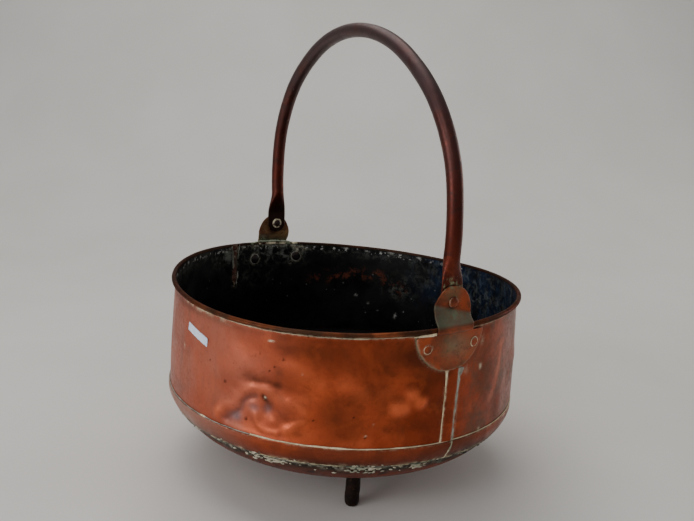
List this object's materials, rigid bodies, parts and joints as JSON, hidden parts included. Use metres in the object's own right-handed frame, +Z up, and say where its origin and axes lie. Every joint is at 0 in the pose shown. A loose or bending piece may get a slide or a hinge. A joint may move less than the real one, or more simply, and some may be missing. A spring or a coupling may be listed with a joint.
{
  "type": "copper bucket",
  "caption": "Round copper hearth bucket with a rolled rim, riveted ears, a swinging tube bail and short peg feet.",
  "frame": {"origin": "on the floor under the middle of the rim, at the centre of the box", "axes": "+Z up; X along the bail's hinge axis with ear_near at +X; -Y is the front wall sheet"},
  "size_m": [0.4712, 0.4568, 0.5723],
  "materials": {
    "wall_copper": "old polished copper with brown patina",
    "band_copper": "old copper, brown patina",
    "pan_copper": "sooty dark copper",
    "ear_copper": "dull brown copper",
    "bail_copper": "dark red-brown handled copper",
    "rivet_copper": "dark copper",
    "rim_iron": "rusted wire",
    "foot_iron": "blackened iron",
    "label_paper": "blank matt paper"
  },
  "bodies": {
    "tub": {"wall_sheet_front": "wall_copper", "wall_sheet_back": "wall_copper", "seam_strip_near": "wall_copper", "seam_strip_far": "wall_copper", "rim_wire": "rim_iron", "base_band": "band_copper", "bottom_pan": "pan_copper", "ear_near": "ear_copper", "ear_far": "ear_copper", "paper_label": "label_paper", "rivet_near_left": "rivet_copper", "rivet_near_right": "rivet_copper", "rivet_far_left": "rivet_copper", "rivet_far_right": "rivet_copper", "pivot_rivet_near": "rivet_copper", "pivot_washer_near": "rivet_copper", "pivot_rivet_far": "rivet_copper", "pivot_washer_far": "rivet_copper", "foot_1": "foot_iron", "foot_washer_1": "rivet_copper", "foot_2": "foot_iron", "foot_washer_2": "rivet_copper", "foot_3": "foot_iron", "foot_washer_3": "rivet_copper"},
    "bail": {"bail_handle": "bail_copper"}
  },
  "joints": [
    {"name": "bail_swing", "type": "hinge", "parent": "tub", "child": "bail", "pos_m": [0, 0, 0.27795], "axis": [0.9999, 0, -0.0152], "range_deg": [-98, 98]}
  ]
}
